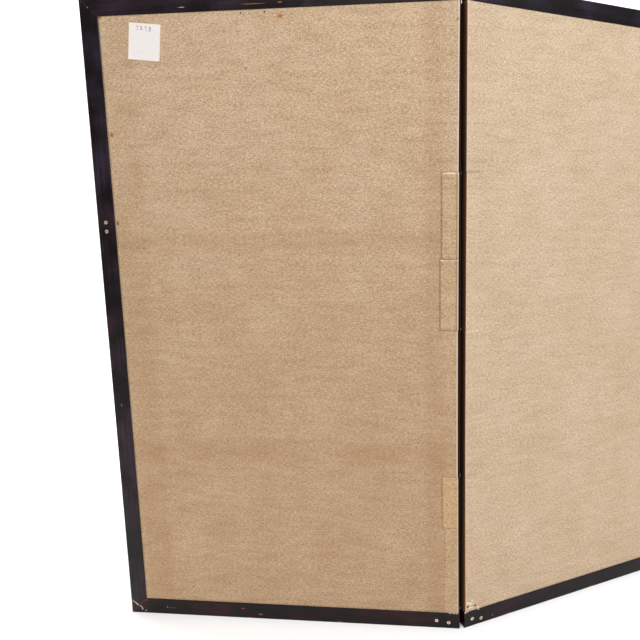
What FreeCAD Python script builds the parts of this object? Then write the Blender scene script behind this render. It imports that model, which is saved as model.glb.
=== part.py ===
import FreeCAD, Part
import math
import os

# A two-panel folding screen, in millimetres, standing in a shallow V on a floor at Z 0.
# The painted faces look to -Y, inside the V, and the cloth backs look to +Y.
# Each panel is drawn flat first: X runs from its fold edge to its outer edge, Y from front to
# back through the middle of its thickness, and Z up. Then it is turned into its place in the V.

# Whole screen
panel_width = 850.0
panel_height = 1500.0
fold_angle = 30.2          # degrees by which one panel turns out of the other one's plane

# Lacquered frame: two rails and one outer stile to each panel, and no stile at the fold
frame_depth = 24.0
stile_width = 42.0
rail_height = 41.0
arris_radius = 2.0
rail_clearance = 0.3       # from a rail's square end to the middle of the fold

# Loose keys hidden in the mitred corners of the frame
key_length = 30.0
key_width = 16.0
key_thickness = 6.0

# Double-pointed nails that hold the frame on the core
nail_length = 36.0
nail_side = 3.0
nail_point = 5.0
rail_nail_shares = (0.2, 0.4, 0.6, 0.8)
stile_nail_shares = (0.08, 0.25, 0.42, 0.59, 0.76, 0.92)

# Softwood core under the papers
core_thickness = 19.0
outer_core_stile_width = 86.0
fold_core_stile_width = 70.0
core_rail_height = 60.0
upper_bar_height = 48.0
lower_bar_height = 70.0
upper_bar_place_share = 0.645      # of the height inside the frame, to the bar's middle
lower_bar_place_share = 0.286
tenon_length = 30.0
tenon_thickness = 6.4
tenon_shoulder = 9.0

# Thin lattice strips, half-lapped where they cross
strip_width = 12.0
strip_tenon = 8.0
upright_pitch = 130.0
lath_pitch = 105.0

# Papers and cloths, in the order that they are pasted on
paper_thickness = 0.8
painting_thickness = 0.6
cloth_thickness = 0.6
border_width = 45.0
fold_border_width = 20.0
lining_width = 5.0

# Paper hinge: strips that pass through the fold from one panel's front to the other's back
strip_count = 4
strip_spacing = 0.8        # between the end of one strip and the start of the next
web_thickness = 0.6
web_clearance = 0.9        # from a web to a panel's edge, the slack that lets the strips cross
axis_stand_off = 0.3       # of each fold line from the frame's face
flap_thickness = 0.5
back_flap_width = 38.0
flap_overhang = 0.45       # of a flap's end past the panel's edge, towards its web
crease_run = 8.0           # where a flap comes down from the fold line on to the face
crease_clearance = 0.15

# Loose tenon and two screws at the fold end of each bottom rail
rail_tenon_start = 15.0
rail_tenon_width = 48.0
rail_tenon_cover = 8.0     # wood left between the mortise and the floor
rail_tenon_depth = 22.0    # in the core
loose_tenon_thickness = 8.0
rail_screw_spots = {       # distance from the cloth's fold edge and height, nearest first
    "panel_1": ((25.8, 15.1), (55.8, 19.2)),
    "panel_2": ((21.0, 18.9), (46.9, 13.4)),
}

# Loose tenon and two screws in the first panel's outer stile
stile_tenon_height = 56.0
stile_tenon_depth = 31.0   # in the stile
core_tenon_depth = 40.0    # in the core
stile_tenon_place_share = 0.672
stile_screw_spacing = 21.0
stile_screw_inset = 20.0   # from the stile's outer edge

# Flat-headed slotted wood screws
screw_length = 20.0
screw_head_diameter = 8.6
screw_shank_diameter = 4.0
screw_head_depth = 3.4
screw_tip = 4.0
screw_slot_width = 1.1
screw_slot_depth = 1.2
screw_sink = 0.3
rail_slot_turns = (80, 35)         # degrees, as the driver left each slot
stile_slot_turns = (100, 10)

# Paper label on the first panel's back
label_width = 73.0
label_height = 78.0
label_thickness = 0.3
label_turn = 6.3           # degrees, its top leaning towards the fold
label_from_stile = 104.6
label_from_rail = 58.0

# Shared allowances
fit_gap = 0.1
edge_gap = 0.2
overrun = 5.0

# Worked out from the sizes above
half_angle = math.radians(fold_angle / 2)
half_depth = frame_depth / 2
half_core = core_thickness / 2
inside_width = panel_width - stile_width
inside_bottom = rail_height
inside_top = panel_height - rail_height
inside_height = inside_top - inside_bottom
front_face = half_core + paper_thickness + painting_thickness
back_face = half_core + paper_thickness + cloth_thickness
hinge_gap = web_thickness + 2 * web_clearance
hinge_reach = frame_depth + 2 * axis_stand_off
rail_reach = hinge_gap / 2 - rail_clearance
strip_pitch = inside_height / strip_count
core_inner = inside_width - outer_core_stile_width
core_low = inside_bottom + core_rail_height
core_high = inside_top - core_rail_height
upper_bar_middle = inside_bottom + upper_bar_place_share * inside_height
lower_bar_middle = inside_bottom + lower_bar_place_share * inside_height

# The V is centred on the origin: its back is a web's corner, its front an outer arris
back_reach = (web_thickness / 2 * math.sin(half_angle)
              + (hinge_reach - axis_stand_off) * math.cos(half_angle))
front_reach = ((panel_width - arris_radius + hinge_gap / 2) * math.sin(half_angle)
               - (arris_radius + axis_stand_off) * math.cos(half_angle) + arris_radius)
hinge_line_y = (front_reach - back_reach) / 2


def block(x0, x1, y0, y1, z0, z1):
    """A square-edged block between two corners."""
    corner = FreeCAD.Vector(x0, y0, z0)
    return Part.makeBox(x1 - x0, y1 - y0, z1 - z0, corner)


def prism(points, along, length):
    """A closed outline of straight lines, drawn out along one direction."""
    vectors = [FreeCAD.Vector(*point) for point in points]
    outline = Part.makePolygon(vectors + vectors[:1])
    return Part.Face(outline).extrude(along * length)


def rounded_section(width, depth, radius):
    """The frame's section: a rectangle from 0 to width, with its four arrises rounded."""
    half = depth / 2
    turn = radius * (1 - math.sqrt(0.5))
    corners = ((0, -half, 1, 1), (width, -half, -1, 1), (width, half, -1, -1), (0, half, 1, -1))
    edges = []
    last = None
    first = None
    for index, (x, y, step_x, step_y) in enumerate(corners):
        on_side = FreeCAD.Vector(x, y + step_y * radius, 0)
        on_end = FreeCAD.Vector(x + step_x * radius, y, 0)
        middle = FreeCAD.Vector(x + step_x * turn, y + step_y * turn, 0)
        start, finish = (on_side, on_end) if index % 2 == 0 else (on_end, on_side)
        if last is None:
            first = start
        else:
            edges.append(Part.LineSegment(last, start).toShape())
        edges.append(Part.Arc(start, middle, finish).toShape())
        last = finish
    edges.append(Part.LineSegment(last, first).toShape())
    return Part.Face(Part.Wire(edges))


def in_panel(shape, side):
    """A shape drawn flat, set into the V: side 1 is the +X panel, side -1 its mirror image."""
    placed = shape.copy()
    placed.translate(FreeCAD.Vector(hinge_gap / 2, half_depth + axis_stand_off, 0))
    placed.rotate(FreeCAD.Vector(0, 0, 0), FreeCAD.Vector(0, 0, 1), -math.degrees(half_angle))
    placed.translate(FreeCAD.Vector(0, hinge_line_y, 0))
    if side < 0:
        placed = placed.mirror(FreeCAD.Vector(0, 0, 0), FreeCAD.Vector(1, 0, 0))
    return placed


def flipped(shape):
    """The same shape at the top of the panel instead of the bottom."""
    middle = FreeCAD.Vector(0, 0, panel_height / 2)
    return shape.mirror(middle, FreeCAD.Vector(0, 0, 1))


# Fixings, each drawn once as a solid and once a little larger as the hole that takes it
def nail(gap):
    """A square nail pointed at both ends, along X, with its middle at the origin."""
    half_side = nail_side / 2 + gap
    half_length = nail_length / 2 + gap
    straight = half_length - nail_point
    side = 2 * half_side
    body = block(-straight, straight, -half_side, half_side, -half_side, half_side)
    for direction in (1, -1):
        base = Part.makePolygon([
            FreeCAD.Vector(direction * straight, -half_side, -half_side),
            FreeCAD.Vector(direction * straight, half_side, -half_side),
            FreeCAD.Vector(direction * straight, half_side, half_side),
            FreeCAD.Vector(direction * straight, -half_side, half_side),
            FreeCAD.Vector(direction * straight, -half_side, -half_side)])
        tip_side = side / 4
        tip = base.copy()
        tip.scale(tip_side / side, FreeCAD.Vector(direction * straight, 0, 0))
        tip.translate(FreeCAD.Vector(direction * nail_point, 0, 0))
        body = body.fuse(Part.makeLoft([base, tip], True, True))
    return body.removeSplitter()


def nail_places():
    """Where the nails go: along the two rails and up the outer stile, with their direction."""
    places = []
    for share in rail_nail_shares:
        across = share * inside_width
        places.append((FreeCAD.Vector(across, 0, inside_bottom), True))
        places.append((FreeCAD.Vector(across, 0, inside_top), True))
    for share in stile_nail_shares:
        up = inside_bottom + share * inside_height
        places.append((FreeCAD.Vector(inside_width, 0, up), False))
    return places


def nails(gap):
    """Every frame nail of a panel, or every nail's hole."""
    solids = []
    for place, upright in nail_places():
        one = nail(gap)
        if upright:
            one.rotate(FreeCAD.Vector(0, 0, 0), FreeCAD.Vector(0, 1, 0), 90)
        one.translate(place)
        solids.append(one)
    return solids


def screw(gap):
    """A countersunk screw along -Y with its head's face at the origin, without its slot."""
    head = screw_head_diameter / 2 + gap
    shank = screw_shank_diameter / 2 + gap
    length = screw_length + gap
    outline = Part.makePolygon([
        FreeCAD.Vector(0, 0, 0),
        FreeCAD.Vector(head, 0, 0),
        FreeCAD.Vector(shank, -screw_head_depth, 0),
        FreeCAD.Vector(shank, screw_tip - length, 0),
        FreeCAD.Vector(0, -length, 0),
        FreeCAD.Vector(0, 0, 0)])
    return Part.Face(outline).revolve(FreeCAD.Vector(0, 0, 0), FreeCAD.Vector(0, 1, 0), 360)


def slotted_screw(turn):
    """The screw with the slot for its driver, turned to where it was left."""
    head = screw_head_diameter
    half_slot = screw_slot_width / 2
    slot = block(-head, head, -screw_slot_depth, overrun, -half_slot, half_slot)
    one = screw(0).cut(slot)
    one.rotate(FreeCAD.Vector(0, 0, 0), FreeCAD.Vector(0, 1, 0), turn)
    return one


def screw_hole():
    """The countersunk hole, open at the frame's back."""
    mouth = Part.makeCylinder(screw_head_diameter / 2 + fit_gap, overrun,
                              FreeCAD.Vector(0, 0, 0), FreeCAD.Vector(0, 1, 0))
    return screw(fit_gap).fuse(mouth)


def rail_screw_places(name):
    """The two screws near the fold in a panel's bottom rail, nearest first."""
    depth = half_depth - screw_sink
    return [FreeCAD.Vector(across, depth, height) for across, height in rail_screw_spots[name]]


def stile_screw_places():
    """The two screws one above the other in the first panel's outer stile."""
    across = panel_width - stile_screw_inset
    middle = inside_bottom + stile_tenon_place_share * inside_height
    depth = half_depth - screw_sink
    return [FreeCAD.Vector(across, depth, middle + stile_screw_spacing / 2),
            FreeCAD.Vector(across, depth, middle - stile_screw_spacing / 2)]


def moved(shape, place):
    """A copy of a shape at another place."""
    copy = shape.copy()
    copy.translate(place)
    return copy


def screws(places, turns):
    """A pair of screws as separate solids, each with its slot at its own angle."""
    return [moved(slotted_screw(turn), place) for place, turn in zip(places, turns)]


def screw_holes(places):
    """The holes for a pair of screws."""
    hole = screw_hole()
    return [moved(hole, place) for place in places]


# Loose tenons that the screws pin
def rail_tenon(gap):
    """The loose tenon that ties the bottom rail's free end to the core's fold stile."""
    half = loose_tenon_thickness / 2 + gap
    return block(rail_tenon_start - gap, rail_tenon_start + rail_tenon_width + gap,
                 -half, half,
                 rail_tenon_cover - gap, inside_bottom + rail_tenon_depth + gap)


def stile_tenon(gap):
    """The loose tenon that ties the outer stile to the core beside it."""
    half = loose_tenon_thickness / 2 + gap
    middle = inside_bottom + stile_tenon_place_share * inside_height
    reach = stile_tenon_height / 2 + gap
    return block(inside_width - core_tenon_depth - gap, inside_width + stile_tenon_depth + gap,
                 -half, half, middle - reach, middle + reach)


# Lacquered frame
def corner_key(gap):
    """A loose key laid square across the bottom corner's mitre."""
    half_length = key_length / 2 + gap
    half_width = key_width / 2 + gap
    half_thickness = key_thickness / 2 + gap
    key = block(-half_length, half_length, -half_thickness, half_thickness,
                -half_width, half_width)
    mitre_angle = math.degrees(math.atan2(stile_width, rail_height))
    key.rotate(FreeCAD.Vector(0, 0, 0), FreeCAD.Vector(0, 1, 0), -mitre_angle)
    key.translate(FreeCAD.Vector(panel_width - stile_width / 2, 0, rail_height / 2))
    return key


def mitre_waste(for_rail):
    """The wedge beyond the bottom corner's mitre, on the stile's side or on the rail's."""
    outward = panel_width + stile_width
    inward = panel_width - 2 * stile_width
    below = -rail_height
    above = 2 * rail_height
    depth = -frame_depth
    square = (outward, depth, above) if for_rail else (inward, depth, below)
    points = [(inward, depth, above), (outward, depth, below), square]
    return prism(points, FreeCAD.Vector(0, 1, 0), 2 * frame_depth)


def plain_rail():
    """The bottom rail's bar before its holes: mitred at the corner, and square at the fold,
    where it stands a little proud of the cloth so that the two panels' rails nearly meet."""
    section = rounded_section(rail_height, frame_depth, arris_radius)
    section.rotate(FreeCAD.Vector(0, 0, 0), FreeCAD.Vector(0, 1, 0), -90)
    section.translate(FreeCAD.Vector(-rail_reach, 0, 0))
    bar = section.extrude(FreeCAD.Vector(panel_width + rail_reach, 0, 0))
    return bar.cut(mitre_waste(True))


def bottom_rail(name):
    """The bottom rail with its key slot, nail holes, tenon mortise and screw holes."""
    holes = [corner_key(fit_gap), rail_tenon(fit_gap)]
    holes += nails(fit_gap)
    holes += screw_holes(rail_screw_places(name))
    return plain_rail().cut(holes)


def top_rail():
    """The top rail, held by nails and its corner key alone."""
    holes = [flipped(corner_key(fit_gap))]
    holes += nails(fit_gap)
    return flipped(plain_rail()).cut(holes)


def outer_stile(name):
    """The outer stile, mitred at both ends. Only the first panel's takes a pinned tenon."""
    section = rounded_section(stile_width, frame_depth, arris_radius)
    section.translate(FreeCAD.Vector(inside_width, 0, 0))
    bar = section.extrude(FreeCAD.Vector(0, 0, panel_height))
    key = corner_key(fit_gap)
    waste = mitre_waste(False)
    holes = [waste, flipped(waste), key, flipped(key)]
    holes += nails(fit_gap)
    if name == "panel_1":
        holes.append(stile_tenon(fit_gap))
        holes += screw_holes(stile_screw_places())
    return bar.cut(holes)


def corner_keys():
    """The two keys of a panel's outer corners."""
    key = corner_key(0)
    return [key, flipped(key)]


# Softwood core
def bay_places(low, high, pitch):
    """Even places between two members, as near to the wanted pitch as whole bays allow."""
    bays = max(2, round((high - low) / pitch))
    step = (high - low) / bays
    return [low + step * index for index in range(1, bays)]


def upright_places():
    """The middles of the lattice's uprights, from the fold outwards."""
    return bay_places(fold_core_stile_width, core_inner, upright_pitch)


def lath_places():
    """The middles of the lattice's laths, in the three bays between rails and bars."""
    upper_low = upper_bar_middle - upper_bar_height / 2
    upper_high = upper_bar_middle + upper_bar_height / 2
    lower_low = lower_bar_middle - lower_bar_height / 2
    lower_high = lower_bar_middle + lower_bar_height / 2
    places = bay_places(core_low, lower_low, lath_pitch)
    places += bay_places(lower_high, upper_low, lath_pitch)
    places += bay_places(upper_high, core_high, lath_pitch)
    return places


def tenoned_member(middle, height):
    """A cross member between the core's stiles, with a shouldered tenon at each end."""
    half = height / 2
    half_tenon = tenon_thickness / 2
    body = block(fold_core_stile_width, core_inner, -half_core, half_core,
                 middle - half, middle + half)
    tenon = block(fold_core_stile_width - tenon_length, core_inner + tenon_length,
                  -half_tenon, half_tenon,
                  middle - half + tenon_shoulder, middle + half - tenon_shoulder)
    return body.fuse(tenon).removeSplitter()


def member_mortises():
    """The mortises in the core's stiles for its rails and bars."""
    half_tenon = tenon_thickness / 2 + fit_gap
    members = ((inside_bottom + core_rail_height / 2, core_rail_height),
               (inside_top - core_rail_height / 2, core_rail_height),
               (upper_bar_middle, upper_bar_height),
               (lower_bar_middle, lower_bar_height))
    holes = []
    for middle, height in members:
        half = height / 2 - tenon_shoulder + fit_gap
        holes.append(block(fold_core_stile_width - tenon_length - fit_gap,
                           core_inner + tenon_length + fit_gap,
                           -half_tenon, half_tenon, middle - half, middle + half))
    return holes


def upright(place, gap):
    """One lattice upright, full depth, with a stub tenon at each end."""
    half = strip_width / 2 + gap
    body = block(place - half, place + half, -half_core, half_core, core_low, core_high)
    tenon = block(place - half, place + half, -half_core / 2 - gap, half_core / 2 + gap,
                  core_low - strip_tenon - gap, core_high + strip_tenon + gap)
    return body.fuse(tenon).removeSplitter()


def lath(place, gap):
    """One lattice lath, full depth, with a stub tenon at each end."""
    half = strip_width / 2 + gap
    body = block(fold_core_stile_width, core_inner, -half_core, half_core,
                 place - half, place + half)
    tenon = block(fold_core_stile_width - strip_tenon - gap, core_inner + strip_tenon + gap,
                  -half_core / 2 - gap, half_core / 2 + gap, place - half, place + half)
    return body.fuse(tenon).removeSplitter()


def front_halves():
    """What each upright gives up at a crossing: its front half, where laths and bars pass."""
    bars = ((upper_bar_middle, upper_bar_height), (lower_bar_middle, lower_bar_height))
    crossings = [(place, strip_width) for place in lath_places()] + list(bars)
    cuts = []
    for middle, height in crossings:
        half = height / 2 + fit_gap
        cuts.append(block(fold_core_stile_width, core_inner, -core_thickness, fit_gap,
                          middle - half, middle + half))
    return cuts


def back_halves():
    """What each lath and bar gives up at a crossing: its back half, where uprights pass."""
    half = strip_width / 2 + fit_gap
    return [block(place - half, place + half, 0, core_thickness, inside_bottom, inside_top)
            for place in upright_places()]


def lattice_uprights():
    """All uprights of a panel's lattice."""
    cuts = front_halves()
    return [upright(place, 0).cut(cuts) for place in upright_places()]


def lattice_laths():
    """All laths of a panel's lattice."""
    cuts = back_halves()
    return [lath(place, 0).cut(cuts) for place in lath_places()]


def core_rail(top):
    """The core's bottom or top rail, with sockets for the uprights and the nails."""
    middle = inside_bottom + core_rail_height / 2
    holes = nails(fit_gap) + [rail_tenon(fit_gap)]
    if top:
        middle = inside_top - core_rail_height / 2
    holes += [upright(place, fit_gap) for place in upright_places()]
    return tenoned_member(middle, core_rail_height).cut(holes)


def core_bar(middle, height):
    """One of the two wide bars across the core, lapped under the uprights."""
    return tenoned_member(middle, height).cut(back_halves())


def core_stile(low_x, high_x, extra_holes):
    """One of the core's stiles, with mortises for the members and sockets for the laths."""
    body = block(low_x, high_x, -half_core, half_core, inside_bottom, inside_top)
    holes = member_mortises() + nails(fit_gap)
    holes += [lath(place, fit_gap) for place in lath_places()]
    return body.cut(holes + extra_holes)


def fold_core_stile():
    """The core's stile at the fold, set back by the cloth that is turned round its edge."""
    return core_stile(cloth_thickness, fold_core_stile_width, [rail_tenon(fit_gap)])


def outer_core_stile(name):
    """The core's stile beside the frame's outer stile."""
    extra_holes = [stile_tenon(fit_gap)] if name == "panel_1" else []
    return core_stile(core_inner, inside_width, extra_holes)


# Papers, painting and cloths
def facing(start, inner_y, outer_y):
    """A sheet that fills the face inside the frame, between two depths."""
    return block(start, inside_width - edge_gap, min(inner_y, outer_y), max(inner_y, outer_y),
                 inside_bottom + edge_gap, inside_top - edge_gap)


def front_ground_paper():
    """The pasted layers of paper under the painting."""
    return facing(cloth_thickness, -half_core, -half_core - paper_thickness)


def back_ground_paper():
    """The pasted layers of paper under the back cloth."""
    return facing(cloth_thickness, half_core, half_core + paper_thickness)


def back_cloth():
    """The cloth stretched over the back and turned round the fold edge."""
    face = facing(0, half_core + paper_thickness, back_face)
    turned_edge = block(0, cloth_thickness, -half_core - paper_thickness, back_face,
                        inside_bottom + edge_gap, inside_top - edge_gap)
    return face.fuse(turned_edge).removeSplitter()


def picture_frame(edges, widths):
    """Four mitred flat strips on the painted side, round the rectangle that they leave free."""
    left, right, low, high = edges
    fold_width, other_width = widths
    near = left + fold_width
    far = right - other_width
    floor = low + other_width
    ceiling = high - other_width
    depth = -front_face
    outlines = (
        [(left, depth, low), (right, depth, low), (far, depth, floor), (near, depth, floor)],
        [(left, depth, high), (right, depth, high), (far, depth, ceiling), (near, depth, ceiling)],
        [(left, depth, low), (near, depth, floor), (near, depth, ceiling), (left, depth, high)],
        [(right, depth, low), (far, depth, floor), (far, depth, ceiling), (right, depth, high)])
    return [prism(points, FreeCAD.Vector(0, 1, 0), painting_thickness) for points in outlines]


def border_edges():
    """The outer edges of the brocade border."""
    return (0, inside_width - edge_gap, inside_bottom + edge_gap, inside_top - edge_gap)


def lining_edges():
    """The outer edges of the narrow lining, just inside the brocade."""
    left, right, low, high = border_edges()
    return (left + fold_border_width, right - border_width,
            low + border_width, high - border_width)


def brocade_border():
    """The brocade border of the painted side, narrow at the fold."""
    return picture_frame(border_edges(), (fold_border_width, border_width))


def lining_border():
    """The thin plain strip between the brocade and the painting."""
    return picture_frame(lining_edges(), (lining_width, lining_width))


def painting():
    """The painted sheet that the borders leave free."""
    left, right, low, high = lining_edges()
    return block(left + lining_width, right - lining_width,
                 -front_face, -front_face + painting_thickness,
                 low + lining_width, high - lining_width)


def paper_label():
    """A small paper label pasted a little askew near the top of the back."""
    half_width = label_width / 2
    half_height = label_height / 2
    label = block(-half_width, half_width, back_face, back_face + label_thickness,
                  -half_height, half_height)
    label.rotate(FreeCAD.Vector(0, 0, 0), FreeCAD.Vector(0, 1, 0), -label_turn)
    label.translate(FreeCAD.Vector(inside_width - label_from_stile, 0,
                                   inside_top - label_from_rail))
    return label


# Hinge
def strip_span(index):
    """The bottom and top of one hinge strip, counted from the top of the fold."""
    top = inside_top - index * strip_pitch - strip_spacing / 2
    return top - strip_pitch + strip_spacing, top


def flap(index, side, face, width):
    """The part of a strip that is pasted on a face, rising to the fold line at its end."""
    low, high = strip_span(index)
    crest = half_depth + axis_stand_off - crease_clearance
    points = [(-flap_overhang, side * (crest - flap_thickness), low),
              (-flap_overhang, side * crest, low),
              (crease_run, side * (face + flap_thickness), low),
              (width, side * (face + flap_thickness), low),
              (width, side * face, low),
              (crease_run, side * face, low)]
    return prism(points, FreeCAD.Vector(0, 0, 1), high - low)


def web(index):
    """The part of a strip that passes through the fold from front to back."""
    low, high = strip_span(index)
    half_web = web_thickness / 2
    reach = half_depth
    return block(-hinge_gap / 2 - half_web, -hinge_gap / 2 + half_web, -reach, reach, low, high)


def strips(first, make):
    """Every second strip, counted from the first one given."""
    return [make(index) for index in range(first, strip_count, 2)]


def front_flap(index):
    """A flap over the brocade at the fold."""
    return flap(index, -1, front_face, fold_border_width)


def back_flap(index):
    """A flap over the back cloth at the fold."""
    return flap(index, 1, back_face, back_flap_width)


def panel_pieces(name, first_front, first_back):
    """Every piece of one panel, drawn flat, by its node's name."""
    return {
        "top_rail": [top_rail()],
        "bottom_rail": [bottom_rail(name)],
        "outer_stile": [outer_stile(name)],
        "corner_keys": corner_keys(),
        "frame_nails": nails(0),
        "rail_tenon": [rail_tenon(0).cut(screw_holes(rail_screw_places(name)))],
        "rail_screws": screws(rail_screw_places(name), rail_slot_turns),
        "core_stile_outer": [outer_core_stile(name)],
        "core_stile_fold": [fold_core_stile()],
        "core_rail_top": [core_rail(True)],
        "core_rail_bottom": [core_rail(False)],
        "core_bar_upper": [core_bar(upper_bar_middle, upper_bar_height)],
        "core_bar_lower": [core_bar(lower_bar_middle, lower_bar_height)],
        "lattice_uprights": lattice_uprights(),
        "lattice_laths": lattice_laths(),
        "front_ground_paper": [front_ground_paper()],
        "back_ground_paper": [back_ground_paper()],
        "painting": [painting()],
        "lining_border": lining_border(),
        "brocade_border": brocade_border(),
        "back_cloth": [back_cloth()],
        "front_flaps": strips(first_front, front_flap),
        "back_flaps": strips(first_back, back_flap),
    }


def write(name, solids):
    """One file for each node, with its solids apart from each other."""
    shape = solids[0] if len(solids) == 1 else Part.makeCompound(solids)
    for solid in shape.Solids:
        if not solid.isValid():
            print("not valid:", name)
    shape.exportStep("parts/" + name + ".step")


os.makedirs("parts", exist_ok=True)

first_panel = panel_pieces("panel_1", 0, 1)
first_panel["stile_tenon"] = [stile_tenon(0).cut(screw_holes(stile_screw_places()))]
first_panel["stile_screws"] = screws(stile_screw_places(), stile_slot_turns)
first_panel["paper_label"] = [paper_label()]
second_panel = panel_pieces("panel_2", 1, 0)

for node, solids in first_panel.items():
    write("panel_1_" + node, [in_panel(solid, 1) for solid in solids])
for node, solids in second_panel.items():
    write("panel_2_" + node, [in_panel(solid, -1) for solid in solids])
write("strip_webs_a", [in_panel(solid, -1) for solid in strips(0, web)])
write("strip_webs_b", [in_panel(solid, 1) for solid in strips(1, web)])
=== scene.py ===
import math
import random

import bmesh
import bpy
from mathutils import Matrix, Vector, noise


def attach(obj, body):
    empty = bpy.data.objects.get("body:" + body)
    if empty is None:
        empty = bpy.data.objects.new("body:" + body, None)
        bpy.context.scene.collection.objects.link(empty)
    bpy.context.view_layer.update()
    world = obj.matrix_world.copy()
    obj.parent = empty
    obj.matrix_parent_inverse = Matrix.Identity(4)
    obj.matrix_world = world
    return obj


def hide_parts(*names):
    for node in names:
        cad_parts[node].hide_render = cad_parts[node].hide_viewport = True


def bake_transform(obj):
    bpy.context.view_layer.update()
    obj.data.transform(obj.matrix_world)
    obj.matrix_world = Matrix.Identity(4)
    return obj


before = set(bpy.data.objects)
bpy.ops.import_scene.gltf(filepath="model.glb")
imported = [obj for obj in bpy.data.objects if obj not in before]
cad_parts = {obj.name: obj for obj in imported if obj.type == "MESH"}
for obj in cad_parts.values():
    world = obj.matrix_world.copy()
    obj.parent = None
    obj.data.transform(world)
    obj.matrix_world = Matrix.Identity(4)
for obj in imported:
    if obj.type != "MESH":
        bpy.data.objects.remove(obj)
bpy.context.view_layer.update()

# The core of each panel: planed cedar stiles, rails and wide bars, tenoned together, with a lattice
# of thin half-lapped strips in its bays. Paper and cloth hide it, so the wood is dry and uncoated.
half_angle = math.radians(15.1)      # between a panel and the straight line through both
fold_line = 0.0987304                # of the front fold line along Y, in metres
own_corner = (0.0012, 0.0123)        # of a panel's middle plane and edge from the fold line
sides = {"panel_1": 1, "panel_2": -1}
cedar_pale = "#cdb083"
cedar_dark = "#a47b4e"


def linear(hex_colour):
    """An sRGB hex colour as the linear colour that a shader takes."""
    channels = [int(hex_colour[i:i + 2], 16) / 255 for i in (1, 3, 5)]
    return [c / 12.92 if c <= 0.04045 else ((c + 0.055) / 1.055) ** 2.4 for c in channels] + [1.0]


# What a kind of node is set to unless its line says otherwise.
usual = {"Mix": {"data_type": "RGBA"}, "UVMap": {"uv_map": "laid flat"}}


def wire(node, *values, **inputs):
    """Gives a node's inputs their values or links, in order or by name. A hex value is a colour, and
    a node stands for its first output."""
    in_order = zip([socket for socket in node.inputs if socket.enabled], values)
    by_name = [(node.inputs[name.replace("_", " ")], value) for name, value in inputs.items()]
    for socket, value in [*in_order, *by_name]:
        if isinstance(value, bpy.types.Node):
            value = next(output for output in value.outputs if output.enabled)
        if isinstance(value, bpy.types.NodeSocket):
            node.id_data.links.new(value, socket)
        else:
            socket.default_value = linear(value) if isinstance(value, str) else value


def adder(tree):
    """The function that adds nodes to one tree."""
    def add(kind, *values, **named):
        """Adds a node of a kind, which may name its operation too. Of the named values, those in
        small letters are its settings, and the others its inputs."""
        kind, _, operation = kind.partition(" ")
        node = tree.nodes.new(kind if "Node" in kind else "ShaderNode" + kind)
        settings = {**usual.get(kind, {}), **({"operation": operation.upper()} if operation else {}),
                    **{name: value for name, value in named.items() if name.islower()}}
        for name, value in settings.items():
            setattr(node, name, value)
        wire(node, *values, **{name: value for name, value in named.items() if not name.islower()})
        return node
    return add


def new_finish(name, **sockets):
    """A material, what adds nodes to it and its shader, with the values that are the same all over."""
    material = bpy.data.materials.new(name)
    material.use_nodes = True
    shader = material.node_tree.nodes["Principled BSDF"]
    for socket, value in sockets.items():
        shader.inputs[socket.replace("_", " ").title().replace("Ior", "IOR")].default_value = value
    return material, adder(material.node_tree), shader


def panel_place(side):
    """The matrix from a panel drawn flat, its fold edge at x 0 and its feet at z 0, to its place."""
    turn = Matrix.Translation((0, fold_line, 0)) @ Matrix.Rotation(-half_angle, 4, "Z")
    return Matrix.Scale(side, 4, (1, 0, 0)) @ turn @ Matrix.Translation((*own_corner, 0))


def panel_coordinates(add, side):
    """Object coordinates turned back to the panel as it was drawn flat, in metres."""
    return add("Mapping", Vector=add("TexCoord").outputs["Object"], Scale=(side, 1, 1),
               Location=panel_place(side).inverted().to_translation(), Rotation=(0, 0, half_angle))


def wood(name, side, upright, pale, dark, roughness):
    """Planed straight-grained wood, its growth lines 3 to 5 mm apart along the member."""
    material, add, shader = new_finish(name, roughness=roughness)
    place = panel_coordinates(add, side)
    rings = (260, 260, 5) if upright else (5, 260, 260)
    fibres = (1500, 1500, 30) if upright else (30, 1500, 1500)
    line = add("TexNoise", add("Mapping", Vector=place, Scale=rings), 1.0, Detail=3.0, Distortion=0.6)
    fibre = add("TexNoise", add("Mapping", Vector=place, Scale=fibres), 1.0, Detail=2.0)
    tone = add("Mix", add("MapRange", line, 0.42, 0.62), pale, dark)
    wire(shader, Base_Color=add("Mix", 0.3, tone, fibre.outputs["Color"], blend_type="SOFT_LIGHT"),
         Normal=add("Bump", Height=fibre, Strength=0.25, Distance=0.0002))
    return material


def give(node, material):
    """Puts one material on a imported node."""
    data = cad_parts[node].data
    data.materials.clear()
    data.materials.append(material)


for panel, side in sides.items():
    standing = wood(f"planed cedar, upright, {panel}", side, True, cedar_pale, cedar_dark, 0.7)
    lying = wood(f"planed cedar, level, {panel}", side, False, cedar_pale, cedar_dark, 0.7)
    for member in ("core_stile_outer", "core_stile_fold", "lattice_uprights"):
        give(f"{panel}_{member}", standing)
    for member in ("core_rail_top", "core_rail_bottom", "core_bar_upper", "core_bar_lower",
                   "lattice_laths"):
        give(f"{panel}_{member}", lying)

# The loose pieces that hold the frame: oak keys in its mitres and oak tenons into the core, and
# hand-forged iron nails with two points, which are black with scale and a little rusty.
oak_pale = "#b08a5a"
oak_dark = "#7d5a38"
iron_black = "#2b2826"
iron_rust = "#6b3d22"

forged_iron, add, shader = new_finish("forged iron", metallic=0.85)
scale_marks = add("TexNoise", add("TexCoord").outputs["Object"], 600.0, Detail=4.0)
rusted = add("MapRange", scale_marks, 0.52, 0.66)
rust_tone = add("Mix", rusted, iron_black, iron_rust)
wire(shader, Base_Color=rust_tone, Roughness=add("MapRange", rusted, To_Min=0.45, To_Max=0.9),
     Normal=add("Bump", Height=scale_marks, Strength=0.4, Distance=0.0003))

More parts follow.
